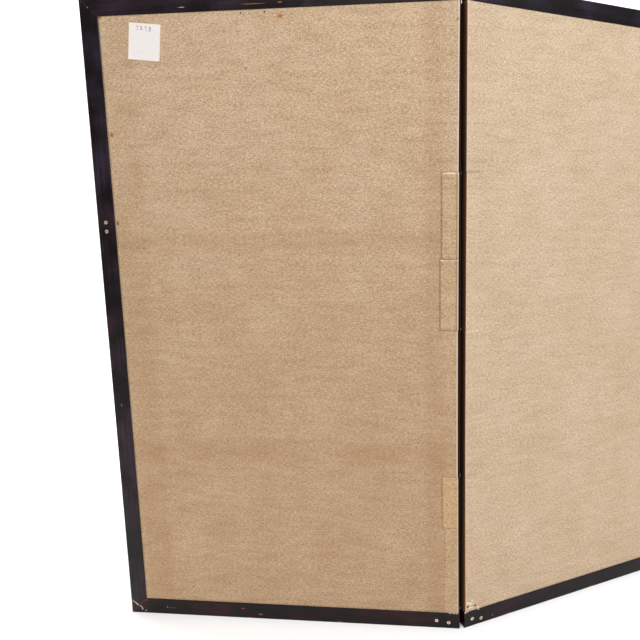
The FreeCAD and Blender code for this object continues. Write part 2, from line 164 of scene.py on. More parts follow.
for panel, side in sides.items():
    oak = wood(f"planed oak, {panel}", side, False, oak_pale, oak_dark, 0.55)
    for member in ("corner_keys", "rail_tenon"):
        give(f"{panel}_{member}", oak)
    give(f"{panel}_frame_nails", forged_iron)
give("panel_1_stile_tenon", wood("planed oak, stile tenon", 1, False, oak_pale, oak_dark, 0.55))

# The ground paper: several layers of long-fibred mulberry paper, pasted over both faces of the core.
# They are one node to a face. What gives the eye the paper is its fibres, 10 to 20 mm long.
paper_cream = "#e6dcc3"
paper_fibre = "#f4eedd"

ground_paper, add, shader = new_finish("mulberry paper, layered", roughness=0.85)
seen = add("TexCoord").outputs["Object"]
seen = add("Mapping", Vector=seen, Rotation=(0.4, 0.2, 0.6), Scale=(90, 90, 900))
long_fibres = add("TexNoise", seen, 1.0, Detail=4.0, Distortion=1.2)
wire(shader, Base_Color=add("Mix", long_fibres, paper_cream, paper_fibre),
     Normal=add("Bump", Height=long_fibres, Strength=0.2, Distance=0.0002))
for panel in sides:
    give(f"{panel}_front_ground_paper", ground_paper)
    give(f"{panel}_back_ground_paper", ground_paper)

# The painting: one sheet of strong paper covered with squares of gold leaf, which overlap a little
# and have rubbed thin in places. On the gold lie a generic pine, a stand of bamboo, low banks and
# bands of mist, in thick mineral colours that stand a quarter of a millimetre proud.
painted_face = 0.0109                # of the sheet's face from the middle of the panel
sheet_depth = (painted_face - 0.0006, painted_face)
sheet_low, sheet_high = 0.0912, 1.4088
sheet_near, sheet_far = 0.025, 0.7578
leaf_square = 0.109
gold_warm = "#c59745"
gold_light = "#d0a554"
gold_rubbed = "#8a5a2c"


def into_scene(name, data):
    """An object that shows a mesh, a light or a camera."""
    made = bpy.data.objects.new(name, data)
    bpy.context.scene.collection.objects.link(made)
    return made


def sheet_piece(name, points, flat, faces, material, smooth=True, outwards=False):
    """A mesh whose UV map holds the place of each point on the flat sheet."""
    mesh = bpy.data.meshes.new(name)
    mesh.from_pydata(points, [], faces)
    lay = mesh.uv_layers.new(name="laid flat")
    for loop in mesh.loops:
        lay.data[loop.index].uv = flat[loop.vertex_index]
    mesh.materials.append(material)
    if outwards:
        work = bmesh.new()
        work.from_mesh(mesh)
        bmesh.ops.recalc_face_normals(work, faces=work.faces)
        work.to_mesh(mesh)
        work.free()
    mesh.shade_smooth() if smooth else mesh.shade_flat()
    return into_scene(name, mesh)


def panel_piece(name, side, points, flat, faces, material, **finish):
    """Such a mesh drawn on the flat panel in metres, and put in its place."""
    return sheet_piece(name, [panel_place(side) @ Vector(p) for p in points], flat,
                       faces if side > 0 else [face[::-1] for face in faces], material, **finish)


def slab(outline, low, high):
    """Points, flat places and faces of a flat shape (x, z) between two distances in front."""
    count = len(outline)
    points = [(x, -low, z) for x, z in outline] + [(x, -high, z) for x, z in outline]
    area = sum(a[0] * b[1] - b[0] * a[1] for a, b in zip(outline, outline[1:] + outline[:1]))
    ring = list(range(count)) if area > 0 else list(range(count))[::-1]
    faces = [tuple(ring[::-1]), tuple(k + count for k in ring)]
    for a, b in zip(ring, ring[1:] + ring[:1]):
        faces.append((a, b, b + count, a + count))
    return points, [(x, z) for x, z in outline] * 2, faces


def gathered(slabs):
    """Several such shapes as one."""
    points, flat, faces = [], [], []
    for some_points, some_flat, some_faces in slabs:
        faces += [tuple(v + len(points) for v in face) for face in some_faces]
        points += some_points
        flat += some_flat
    return points, flat, faces


gold_leaf, add, shader = new_finish("gold leaf on paper", metallic=0.85)
flat = add("UVMap")
cell = add("VectorMath multiply", flat, (1 / leaf_square,) * 3)
worn = add("TexNoise", flat, 60.0, Detail=6.0, Roughness=0.7)
uneven = add("TexNoise", flat, 24.0, Detail=2.0)
cell = add("VectorMath multiply_add", uneven.outputs["Color"], (0.035,) * 3, cell)
tint = add("TexWhiteNoise", Vector=add("VectorMath floor", cell), noise_dimensions="3D")
inside = add("SeparateXYZ", add("VectorMath fraction", cell)).outputs
lap = add("MapRange", add("Math minimum", inside[0], inside[1]), 0.035, 0.025)
tone = add("Mix", tint, gold_warm, gold_light)
tone = add("Mix", add("Math multiply", lap, 0.35), tone, "#b07f30")
wire(shader, Base_Color=add("Mix", add("MapRange", worn, 0.6, 0.72, To_Max=0.8), tone, gold_rubbed),
     Roughness=add("MapRange", worn, To_Min=0.3, To_Max=0.62))
crinkle = add("Math multiply_add", lap, 0.3, worn)
wire(shader, Normal=add("Bump", Height=crinkle, Strength=0.25, Distance=0.0004))

whole_sheet = [(sheet_near, sheet_low), (sheet_far, sheet_low),
               (sheet_far, sheet_high), (sheet_near, sheet_high)]
for panel, side in sides.items():
    painting = panel_piece(f"{panel}_gold_sheet", side, *slab(whole_sheet, *sheet_depth), gold_leaf,
                           smooth=False)
    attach(painting, panel)
    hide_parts(f"{panel}_painting")


def mineral(name, colour, deep, grain):
    """Ground mineral colour in glue: matt and sandy, thicker and darker where the brush paused."""
    material, add, shader = new_finish(name, roughness=0.82)
    flat = add("TexCoord").outputs["Object"]
    pooled = add("TexNoise", flat, 22.0, Detail=4.0)
    sand = add("TexNoise", flat, grain, Detail=3.0)
    share = add("MapRange", add("Math multiply_add", sand, 0.5, pooled), 0.6, 0.9)
    wire(shader, Base_Color=add("Mix", share, colour, deep),
         Normal=add("Bump", Height=sand, Strength=0.3, Distance=0.0003))
    return material


malachite = mineral("malachite green", "#4f7a52", "#2f5238", 900.0)
bank_green = mineral("malachite green, coarse", "#6f8f58", "#486b3d", 700.0)
near_green = mineral("malachite green, ground fine", "#587848", "#35542d", 700.0)
bamboo_green = mineral("malachite green, pale", "#7d9a5a", "#557a3f", 900.0)
bark_brown = mineral("brown earth and ink", "#6a4a34", "#33231a", 800.0)
shell_white = mineral("shell white over gold", "#d9c08a", "#d0b06c", 900.0)


def smoothed(points, steps=8):
    """A smooth line in metres through points in millimetres."""
    points = [(x / 1000, z / 1000) for x, z in points]
    line = []
    for k in range(len(points) - 1):
        p = [Vector(points[max(0, min(len(points) - 1, k + j))]) for j in (-1, 0, 1, 2)]
        for step in range(steps):
            t = step / steps
            line.append(0.5 * ((2 * p[1]) + (p[2] - p[0]) * t
                               + (2 * p[0] - 5 * p[1] + 4 * p[2] - p[3]) * t ** 2
                               + (3 * p[1] - p[0] - 3 * p[2] + p[3]) * t ** 3))
    return [tuple(point) for point in line] + [tuple(points[-1])]


def within(x, z, low=sheet_low):
    """A point, kept on the painted sheet."""
    return min(sheet_far, max(sheet_near, x)), min(sheet_high, max(low, z))


def limb(line, start, end, seed):
    """The outline of a trunk or branch that tapers along a line, a little knotty."""
    left, right = [], []
    for k, point in enumerate(line):
        way = (Vector(line[min(len(line) - 1, k + 1)]) - Vector(line[max(0, k - 1)])).normalized()
        share = k / (len(line) - 1)
        knots = 1 + 0.25 * noise.noise((point[0] * 22, point[1] * 22, seed))
        across = Vector((-way.y, way.x)) * ((start + (end - start) * share) * knots)
        left.append(within(*(Vector(point) + across)))
        right.append(within(*(Vector(point) - across)))
    return left + right[::-1]


def capsule(band):
    """The outline of one round-ended band of mist."""
    x0, x1, z, half = (size / 1000 for size in band)
    turns = [(end, way * math.pi / 2 - math.pi * k / 8) for end, way in ((x1, 1), (x0, -1))
             for k in range(9)]
    return [within(end + half * math.cos(turn), z + half * math.sin(turn)) for end, turn in turns]


def bank(points):
    """A low rounded bank along the foot of the sheet."""
    top = [within(x, z, sheet_low + 0.002) for x, z in smoothed(points)]
    return [(sheet_near, sheet_low), (sheet_far, sheet_low)] + top[::-1]


def painted_layer(panel, name, outlines, depth, material):
    """Flat painted shapes on a panel, each a hair thicker than the one before."""
    shapes = [slab(outline, painted_face, painted_face + depth + 0.000004 * k)
              for k, outline in enumerate(outlines)]
    layer = panel_piece(f"{panel}_{name}", sides[panel], *gathered(shapes), material, smooth=False)
    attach(layer, panel)


far_banks = (
    ((25, 185), (120, 215), (260, 180), (420, 215), (580, 290), (757.8, 330)),
    ((25, 185), (160, 160), (320, 205), (500, 235), (640, 200), (757.8, 225)))
near_banks = (
    ((25, 130), (200, 150), (380, 125), (600, 175), (757.8, 215)),
    ((25, 130), (220, 118), (460, 160), (757.8, 140)))
mists = (                            # from, to, height and half width, in mm
    ((25, 460, 1335, 32), (25, 300, 1275, 30), (25, 580, 1388, 20),
     (500, 757.8, 1235, 26), (600, 757.8, 1183, 24), (25, 220, 410, 28),
     (25, 340, 356, 24)),
    ((25, 300, 1335, 32), (25, 420, 1275, 30), (25, 240, 1388, 20),
     (25, 260, 410, 28), (25, 160, 356, 24), (500, 757.8, 560, 27),
     (580, 757.8, 508, 23)))
pine_trunk = smoothed([(665, 140), (630, 360), (550, 500), (570, 660), (500, 800),
                       (410, 920), (400, 1060)])
pine_limbs = [smoothed(points) for points in (
    [(560, 560), (440, 600), (300, 575), (170, 610)],
    [(560, 620), (650, 710), (720, 730)],
    [(490, 800), (370, 800), (250, 840), (150, 820)],
    [(440, 880), (550, 960), (660, 970)],
    [(400, 1020), (310, 1060), (220, 1050)],
    [(400, 1040), (450, 1130), (530, 1160)])]
bamboo_stems = [smoothed(points) for points in (
    [(600, 110), (595, 600), (575, 1050), (550, 1360)],
    [(520, 110), (530, 550), (540, 950), (535, 1250)],
    [(440, 120), (435, 500), (420, 900), (390, 1300)],
    [(330, 100), (340, 450), (345, 780), (335, 1050)],
    [(680, 110), (685, 550), (690, 900), (700, 1160)])]
joints_apart = 0.085

stem_shapes = []
for number, line in enumerate(bamboo_stems):
    half = 0.0105 - 0.0012 * number
    run, piece = 0.0, [line[0]]
    for a, b in zip(line, line[1:]):
        run += (Vector(b) - Vector(a)).length
        piece.append(b)
        if run > joints_apart:
            back = Vector(b) - (Vector(b) - Vector(a)).normalized() * 0.003
            stem_shapes.append(limb(piece[:-1] + [tuple(back)], half, half * 0.94, 9.0))
            run, piece = 0.0, [b]
pine_wood = [limb(pine_trunk, 0.030, 0.010, 2.0)]
pine_wood += [limb(line, 0.009, 0.003, 3.0 + k) for k, line in enumerate(pine_limbs)]

for panel, points in zip(sides, far_banks):
    painted_layer(panel, "banks", [bank(points)], 0.00008, bank_green)
painted_layer("panel_1", "pine_wood", pine_wood, 0.00014, bark_brown)
painted_layer("panel_2", "bamboo_stems", stem_shapes, 0.00012, bamboo_green)
for panel, points in zip(sides, near_banks):
    painted_layer(panel, "near_bank", [bank(points)], 0.00018, near_green)
for panel, bands in zip(sides, mists):
    painted_layer(panel, "mist", [capsule(band) for band in bands], 0.00020, shell_white)

# Needles and leaves: fans of brush strokes, thick in the middle and pointed at both ends. One tree
# lays a fan on every twig's tip; pine fans are wide and fine, bamboo ones hang in fives.
def new_tree(name, made, **sockets):
    """A geometry tree with named inputs, what adds nodes to it, and those inputs."""
    tree = bpy.data.node_groups.new(name, "GeometryNodeTree")
    for socket, kind in sockets.items():
        tree.interface.new_socket(socket.replace("_", " "), in_out="INPUT",
                                  socket_type="NodeSocket" + kind)
    tree.interface.new_socket(made, in_out="OUTPUT", socket_type="NodeSocketGeometry")
    add = adder(tree)
    return tree, add, add("NodeGroupInput").outputs


def strewn(add, given, piece, swing, least, most, lean=None):
    """The end of such a tree: the piece on every place, swung about its lean and sized by chance."""
    turn = add("FunctionNodeRandomValue", add("Math multiply", swing, -1.0), swing, Seed=given["Seed"],
               data_type="FLOAT")
    if lean:
        turn = add("Math add", turn, lean)
    grown = add("FunctionNodeRandomValue", least, most, Seed=given["Seed"], data_type="FLOAT")
    laid = add("GeometryNodeInstanceOnPoints", Points=given[0], Instance=piece, Scale=grown,
               Rotation=add("CombineXYZ", Y=turn))
    real = add("GeometryNodeRealizeInstances", laid)
    add("NodeGroupOutput", add("GeometryNodeSetMaterial", Geometry=real, Material=given["Colour"]))


def grown_piece(name, side, tips, tree, **values):
    """The plain mesh that a tree makes from points on the flat panel, put in its place."""
    seeds = bpy.data.meshes.new(name)
    seeds.from_pydata(tips, [], [])
    holder = into_scene(name + "_tips", seeds)
    modifier = holder.modifiers.new("grown", "NODES")
    modifier.node_group = tree
    for item in tree.interface.items_tree:
        if item.name.replace(" ", "_") in values:
            modifier[item.identifier] = values[item.name.replace(" ", "_")]
    mesh = bpy.data.meshes.new_from_object(holder.evaluated_get(bpy.context.evaluated_depsgraph_get()))
    bpy.data.objects.remove(holder)
    mesh.name = name
    mesh.transform(panel_place(side))
    if side < 0:
        mesh.flip_normals()
    return into_scene(name, mesh)


fans, add, given = new_tree(
    "painted fans", "Fans", Tips="Geometry", Blades="Int", Blade_length="Float", Blade_width="Float",
    Relief="Float", Fan_angle="Float", Lean="Float", Sway="Float", Seed="Int", Colour="Material")
blade = add("GeometryNodeMeshCone", Vertices=4, Radius_Top=0.0, Radius_Bottom=0.5, Depth=1.0)
blade_size = add("CombineXYZ", given["Blade width"], given["Blade length"], given["Relief"])
half_length = add("Math multiply", given["Blade length"], 0.5)
stroke = add("GeometryNodeTransform", Geometry=blade, Rotation=(math.pi / 2, 0, 0), Scale=blade_size,
             Translation=add("CombineXYZ", Z=half_length))
roots = add("GeometryNodeMeshLine", Count=given["Blades"], Offset=(0, 0, 0))
share = add("Math divide", add("GeometryNodeInputIndex"), add("Math subtract", given["Blades"], 1.0))
open_by = add("Math multiply", add("Math subtract", share, 0.5), given["Fan angle"])
fan = add("GeometryNodeInstanceOnPoints", Points=roots, Instance=stroke,
          Rotation=add("CombineXYZ", Y=open_by))
strewn(add, given, fan, given["Sway"], 0.75, 1.15, given["Lean"])

tufts = random.Random(11)
pine_tips = [(x + tufts.uniform(-0.03, 0.03), -painted_face - 0.00012, z + tufts.uniform(-0.002, 0.028))
             for line in pine_limbs + [pine_trunk[-18:]] for x, z in line[4::3] for _ in range(3)]
leaf_tips = [(min(0.70, max(0.08, x + tufts.uniform(-0.055, 0.055))), -painted_face - 0.00010,
              min(1.33, max(0.2, z + tufts.uniform(-0.02, 0.03))))
             for line in bamboo_stems for x, z in line[7::2] for _ in range(2)]
needles = grown_piece("panel_1_pine_needles", 1, pine_tips, fans, Blades=13, Blade_length=0.036,
                      Blade_width=0.0022, Relief=0.00016, Fan_angle=2.9, Lean=0.0, Sway=0.35, Seed=3,
                      Colour=malachite)
leaves = grown_piece("panel_2_bamboo_leaves", -1, leaf_tips, fans, Blades=5, Blade_length=0.058,
                     Blade_width=0.0085, Relief=0.00016, Fan_angle=1.7, Lean=math.pi, Sway=0.5, Seed=8,
                     Colour=malachite)
for piece, panel in zip((needles, leaves), sides):
    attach(piece, panel)

# Round the painting: a narrow strip of plain ochre silk, and outside it a mitred border of brocade,
# dark green with a gold lattice of diamonds. The border is narrow at the fold, so that the painting
# runs on from one panel to the other.
border_low, border_high = 0.0412, 1.4588
border_far = 0.8078
border_width, fold_border, silk_width = 0.045, 0.020, 0.005
diamond = 0.026                      # from one diamond's middle to the next one's

brocade, add, shader = new_finish("brocade with gold thread", roughness=0.6, sheen_weight=0.25)
flat = add("UVMap")
axes = add("SeparateXYZ", flat).outputs
slants = [add("Math sine", add("Math multiply", add("Math " + way, *axes[:2]), math.pi / diamond))
          for way in ("add", "subtract")]
close = [add("Math absolute", s) for s in slants]
line = add("Math minimum", close[0], close[1])
heart = add("Math multiply", close[0], close[1])
gilt = add("Math maximum", add("MapRange", line, 0.16, 0.10), add("MapRange", heart, 0.80, 0.86))
pick = add("TexNoise", add("Mapping", Vector=flat, Scale=(250, 1500, 1)), 1.0, Detail=2.0)
gilt = add("Math multiply", gilt, add("MapRange", pick, 0.35, 0.5))
wire(shader, Base_Color=add("Mix", gilt, add("Mix", pick, "#1d2f2a", "#3d564a"), "#b9924a"),
     Metallic=add("Math multiply", gilt, 0.6))
raised = add("Math multiply_add", gilt, 0.5, pick)
wire(shader, Normal=add("Bump", Height=raised, Strength=0.4, Distance=0.0004))

ochre_silk, add, shader = new_finish("plain ochre silk", roughness=0.7, sheen_weight=0.3)
flat = add("UVMap")
rib = add("TexNoise", add("Mapping", Vector=flat, Scale=(900, 900, 1)), 1.0)
wire(shader, Base_Color=add("Mix", rib, "#8a6a34", "#c09a58"),
     Normal=add("Bump", Height=rib, Strength=0.3, Distance=0.0003))


def mitred_frame(left, right, low, high, near_width, width):
    """The outlines of four mitred flat strips round a rectangle, the near one of its own width."""
    near, far, floor, ceiling = left + near_width, right - width, low + width, high - width
    return [[(left, low), (right, low), (far, floor), (near, floor)],
            [(left, high), (right, high), (far, ceiling), (near, ceiling)],
            [(left, low), (near, floor), (near, ceiling), (left, high)],
            [(right, low), (far, floor), (far, ceiling), (right, high)]]


borders = (
    ("brocade", brocade, "brocade_border", "brocade",
     mitred_frame(0.0, border_far, border_low, border_high, fold_border, border_width)),
    ("silk_strip", ochre_silk, "lining_border", "lining_silk",
     mitred_frame(fold_border, border_far - border_width, border_low + border_width,
                  border_high - border_width, silk_width, silk_width)))
for panel, side in sides.items():
    for name, material, node, slot_name, outlines in borders:
        shapes = gathered([slab(outline, *sheet_depth) for outline in outlines])
        piece = panel_piece(f"{panel}_{name}", side, *shapes, material, smooth=False)
        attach(piece, panel)
        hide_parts(f"{panel}_{node}")

# The back cloth: handspun hemp in plain weave, aged from cream to tan. It is pasted over the paper,
# slack enough to follow the core's wide bars a little, and turned round the fold edge.
cloth_low, cloth_high = 0.0412, 1.4588
cloth_far = 0.8078                   # where it meets the outer stile
back_face = 0.0109                   # of the cloth's outside from the middle of the panel
paper_face = 0.0103
turned_radius = 0.0022
fold_face = -0.0008                  # of the turned cloth, over the paste on the fold edge
bar_levels = ((0.956, 0.024), (0.4465, 0.035))      # middle and half height of the core's two bars
hemp_light = "#eed3b1"
hemp_dark = "#9e7d5c"
hemp_stain = "#96662f"
painted_highlight_colour = "#f6ecdf"              # painted highlight where the cloth turns the corner
edge_brown = "#7a4620"               # dye on the part that is turned into the fold
# painted shade: black on the turned part, and on the back just beside the first panel's fold edge
painted_shade_black = "#0d0503"
painted_shade_deep = "#3c2010"                # painted shade, deep in the fold
seam_dirt_and_shade = "#7d5a36"               # paste and dirt round a patch, and painted shadow along its edges
thread_pitch = 0.0022                # real threads lie 1.1 mm apart: drawn at twice that, to show


def swept(profile, levels, lift=None):
    """Points, flat places and faces of a closed profile (x, y, u) drawn up through the levels."""
    points, flat, faces = [], [], []
    count = len(profile)
    for z in levels:
        for x, y, u in profile:
            points.append((x, y + (lift(x, y, z) if lift else 0), z))
            flat.append((u, z))
    for row in range(len(levels) - 1):
        for k in range(count):
            a, b = row * count + k, row * count + (k + 1) % count
            faces.append((a, b, b + count, a + count))
    top = (len(levels) - 1) * count
    faces.append(tuple(range(count))[::-1])
    faces.append(tuple(range(top, top + count)))
    return points, flat, faces


def spots(add, flat, places, ragged=0.5, grain=900.0):
    """A mask of small uneven marks: each place is (u, v, half width, half height) in mm."""
    wobble = add("TexNoise", flat, grain, Detail=2.0)
    mask = None
    for u, v, wide, high in places:
        moved = add("VectorMath subtract", flat, (u / 1000, v / 1000, 0))
        away = add("VectorMath length", add("VectorMath multiply", moved, (1000 / wide, 1000 / high, 0)))
        uneven = add("Math multiply_add", wobble, -2 * ragged, away.outputs["Value"])
        near = add("MapRange", uneven, 1.05 - ragged, 0.6 - ragged)
        mask = near if mask is None else add("Math maximum", mask, near)
    return mask


def hemp(name, bands=(), zones=(), holes=(), pale=(), stains=(), patched=(), shade=0.0, tint=(1, 1, 1),
         contrast=1.0, fold_at=0.0, bow=0.0, turned=edge_brown, painted_highlight_share=0.6, creased=0.0):
    """Plain-woven hemp, which comes round the fold edge on to the back at the flat place fold_at,
    and in the middle of its height as much farther on as its bow. Bands are level stains over the
    bars, zones are upright ones at the sides, and patched is where later cloth lies over it, with
    paste, dirt and painted shadow round it. The highlight share is how strong the painted highlight
    is on the edge where it turns, and creased how brown the crease beside it is."""
    material, add, shader = new_finish(name, roughness=0.92, specular_ior_level=0.15, sheen_weight=0.04,
                                       sheen_roughness=0.6)
    flat = add("UVMap")
    u, v = add("SeparateXYZ", flat).outputs[:2]

    weft, warp = [add("TexNoise", add("Mapping", Vector=flat, Scale=(*closeness, 1)), 1.0, Detail=2.0,
                      Roughness=0.55) for closeness in ((130, 430), (430, 170))]
    mottle = add("TexNoise", flat, 330.0, Detail=2.0, Roughness=0.6, Distortion=0.6)
    long_slubs = add("Mapping", Vector=flat, Scale=(14, 64, 1))
    slubs = add("TexNoise", long_slubs, 1.0, Detail=2.0, Roughness=0.6)
    blotches = add("TexNoise", flat, 22.0, Detail=2.0)
    cloudy = add("TexNoise", flat, 7.0, Detail=4.0)

    threads = [add("Math sine", add("Math multiply", axis, 2 * math.pi / thread_pitch))
               for axis in (u, v)]
    weave = add("Math multiply", *threads)

    grain = 0.0
    for layer, weight in ((weft, 1.1), (warp, 0.9), (mottle, 0.9), (slubs, 0.37), (blotches, 0.18),
                          (weave, 0.05)):
        grain = add("Math multiply_add", layer, weight, grain)
    spread, even = 0.42 / contrast, 1.725
    tone = add("Mix", add("MapRange", grain, even - spread, even + spread), hemp_dark, hemp_light)

    age = add("MapRange", cloudy, 0.35, 0.7, 0.0, 0.12)
    for middle, half, strength in bands:
        away = add("Math absolute", add("Math subtract", v, middle))
        away = add("Math multiply_add", cloudy, 0.02, away)
        band = add("MapRange", away, half + 0.026, half - 0.010, To_Max=strength,
                   interpolation_type="SMOOTHSTEP")
        age = add("Math add", age, band)
    for middle, half, strength in zones:
        away = add("Math absolute", add("Math subtract", u, middle))
        zone = add("MapRange", away, half + 0.012, half - 0.012, To_Max=strength,
                   interpolation_type="SMOOTHSTEP")
        age = add("Math add", age, zone)
    # Darker towards the bottom, by as much as the shade.
    foot = add("MapRange", v, 1.45, 0.3, To_Max=shade, interpolation_type="SMOOTHSTEP")
    tone = add("Mix", add("Math add", age, foot), tone, hemp_stain)
    # Spots: stains, pale marks and holes. On the hinge cloth some pale marks are painted highlights along
    # a patch's top edge.
    for places, colour, grain_size in ((stains, "#a9702f", 300.0), (pale, "#e8dac4", 900.0),
                                       (holes, "#180d06", 900.0)):
        if places:
            mask = spots(add, flat, places, 0.5, grain_size)
            tone = add("Mix", mask, tone, colour)
    tone = add("Mix", 1.0, tone, (*tint, 1), blend_type="MULTIPLY")
    # Round each patch: paste and dirt, and a painted shadow along its edges.
    for low, high, width, dirty in patched:
        above = add("Math subtract", v, high)
        under = add("Math subtract", low, v)
        beside = add("Math subtract", u, width)
        away = add("Math maximum", add("Math maximum", above, under), beside)
        away = add("Math multiply_add", mottle, 0.003, away)
        tone = add("Mix", add("MapRange", away, 0.0052, 0.0016, To_Max=dirty), tone, seam_dirt_and_shade)
    rise = add("Math subtract", v, 0.68)
    u = add("Math multiply_add", add("Math multiply", rise, rise), bow / 0.75 ** 2, u)
    fold_at += bow
    # Towards the fold edge: a brown crease, a painted highlight where the cloth turns the corner, the
    # colour of the turned part, then painted shade deep in the fold.
    for start, end, share, colour in (
            (0.0060, 0.0046, creased, seam_dirt_and_shade), (0.0020, 0.0010, painted_highlight_share, painted_highlight_colour),
            (-0.0004, -0.0012, 1.0, turned), (-0.002, -0.014, 1.0, painted_shade_deep)):
        tone = add("Mix", add("MapRange", u, fold_at + start, fold_at + end, To_Max=share), tone, colour)

    relief = add("Math multiply_add", weave, 0.2, grain)
    wire(shader, Base_Color=tone,
         Normal=add("Bump", Height=relief, Strength=0.48 * contrast, Distance=0.0009))
    return material


def cloth_lift(seed):
    """How far the cloth stands off its flat place: slack between strips, pulled in at the edges."""
    def lift(x, y, z):
        if y < paper_face:
            return 0.0
        gaps = (cloth_far - x, z - cloth_low, cloth_high - z)
        edge = min(1.0, x / 0.02, *(gap / 0.015 for gap in gaps))
        slack = 0.0005 * noise.noise((x * 5, z * 5, seed)) + 0.0002 * noise.noise((x * 18, z * 14, seed))
        over_bar = sum(0.00025 / (1 + ((abs(z - middle) - half) / 0.006) ** 2)
                       for middle, half in bar_levels)
        return max(0.0, edge) * (slack + over_bar)
    return lift


def cloth_profile():
    """The cloth seen from above: out along the back, round the fold edge, and back inside."""
    outside = [(cloth_far - 0.0053 * k, back_face) for k in range(152)]
    outside = [(x, y, x) for x, y in outside if x > turned_radius]
    for k in range(6):
        turn = math.pi / 2 * k / 5
        outside.append((fold_face + turned_radius * (1 - math.sin(turn)),
                        back_face - turned_radius * (1 - math.cos(turn)),
                        fold_face + turned_radius * (1 - turn)))
    outside += [(fold_face, y, y - back_face) for y in (0.006, 0.0, -0.006, -paper_face)]
    inside = [(0.00055, -paper_face, -0.021), (0.00055, paper_face, 0.0),
              (cloth_far, paper_face, cloth_far)]
    return outside + inside


# The later cloth of the hinge's mends, on the first panel: lower, upper, width, and how dark its
# seams are, from dirt and painted shadow.
mends = ((0.9135, 1.1035, 0.041, 0.45), (0.7510, 0.9125, 0.045, 0.55), (0.2645, 0.3945, 0.041, 0.35),
         (0.0420, 0.2635, 0.036, 0.0))
# On the first panel the turned part, and the back just beside the fold edge, are painted black as shade.
first_hemp = hemp(
    "handspun hemp, first panel", bands=((0.956, 0.020, 0.13), (0.4475, 0.030, 0.09)),
    zones=((0.765, 0.035, 0.09), (0.058, 0.020, 0.10)), patched=mends, shade=0.225,
    tint=(0.99, 1.0, 1.02), contrast=0.96, fold_at=0.0028, bow=0.0028, turned=painted_shade_black,
    holes=((479, 1453, 2.2, 2.2), (425, 1453, 2, 2), (473, 1338, 2, 2),
           (679, 81, 2, 2), (801, 1002, 1.8, 6)),
    stains=((803.5, 1456, 6, 3), (5.6, 1421, 3.5, 4),
            (798, 1203, 5, 6), (391, 1443, 7, 4)))
second_hemp = hemp(
    "handspun hemp, second panel", bands=((0.956, 0.020, 0.02), (0.441, 0.030, 0.03)),
    zones=((0.765, 0.035, 0.08),), shade=0.035, tint=(1.01, 1.07, 1.15), contrast=0.76,
    fold_at=0.0036, bow=-0.0030, painted_highlight_share=0.2,
    holes=((8.5, 54, 3.4, 4), (30, 52.5, 3, 3.2),
           (25, 52.5, 1.6, 2.4)),
    pale=((38, 45.5, 3.4, 2.6), (8, 64, 3.5, 5),
          (16, 61, 5, 4), (21, 68, 4, 1.8),
          (15, 50, 7, 2.2)))

cloth_levels = [cloth_low + (cloth_high - cloth_low) * k / 280 for k in range(281)]
for (panel, side), material in zip(sides.items(), (first_hemp, second_hemp)):
    cloth = panel_piece(f"{panel}_hemp_back", side,
                        *swept(cloth_profile(), cloth_levels, cloth_lift(side * 3.1)), material)
    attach(cloth, panel)
    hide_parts(f"{panel}_back_cloth")

# Threads have worked loose from both cloths' lower edges near the fold. They hang over the rail's
# upper arris, and a few stand up as fuzz. One tree bends a thread and lays it on every loose end.
loose_thread, add, shader = new_finish("loose hemp thread", roughness=0.95)
fibre = add("TexNoise", add("TexCoord").outputs["Object"], 900.0, Detail=2.0)
wire(shader, Base_Color=add("Mix", fibre, "#f3dcc0", "#fff6e6"))

frays, add, given = new_tree(
    "frayed threads", "Threads", Loose_ends="Geometry", Length="Float", Thickness="Float",
    Stand_off="Float", Swing="Float", Seed="Int", Colour="Material")
half_way = add("Math multiply", given["Length"], -0.35)
hung = add("Math multiply", given["Length"], -1.0)
bent = add("GeometryNodeCurveQuadraticBezier", Resolution=6, Start=(0, 0, 0),
           Middle=add("CombineXYZ", Y=given["Stand off"], Z=half_way),
           End=add("CombineXYZ", Y=given["Stand off"], Z=hung))
round_section = add("GeometryNodeCurvePrimitiveCircle", Resolution=5, Radius=given["Thickness"])
thread = add("GeometryNodeCurveToMesh", Curve=bent, Profile_Curve=round_section, Fill_Caps=True)
strewn(add, given, thread, given["Swing"], 0.55, 1.08)

# Where they are: (from, to, lower, upper, number, length, swing), on each flat panel.
frayed_places = (
    ((0.0005, 0.026, 0.0425, 0.0440, 34, 0.0046, 0.8), (0.001, 0.012, 0.043, 0.062, 10, 0.0040, 3.0)),
    ((-0.0006, 0.010, 0.0425, 0.0442, 22, 0.0048, 0.9), (0.003, 0.026, 0.046, 0.068, 44, 0.0042, 3.0)))
chance = random.Random(4)
for (panel, side), places in zip(sides.items(), frayed_places):
    for number, (near, far, low, high, count, length, swing) in enumerate(places):
        ends = [(chance.uniform(near, far), back_face + 0.00045, chance.uniform(low, high))
                for _ in range(count)]
        threads = grown_piece(f"{panel}_frayed_threads_{number}", side, ends, frays, Length=length,
                              Thickness=0.0002, Stand_off=0.00065, Swing=swing, Seed=5 + number,
                              Colour=loose_thread)
        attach(threads, panel)

# The strip hinge: four lengths of cloth over the fold. The first and third from the top run from the
# first panel's front to the second's back, and the others the other way, each pasted down at both
# ends. Their ends on the first panel's back are mended with later cloth, of other widths and tones.
strip_pitch = 0.3545
strip_top = 1.459
strip_thick = 0.0005
thin_strip = 0.0003                  # of a back end, worn thin
web_place = -0.0012                  # of the webs, from a panel's fold edge
fold_front = (web_place, -0.0123)    # the front fold line, on the flat panel
turn_start = 0.0014                  # from a fold line to where the cloth starts to turn
flap_face = 0.01115                  # of a flap's middle on the back, and on the front
front_flap_width = 0.0195
web_brown = "#2b1508"


def strip_levels(low, high):
    """The heights of a strip's cross sections."""
    rows = max(4, round((high - low) / 0.006))
    return [low + (high - low) * k / rows for k in range(rows + 1)]


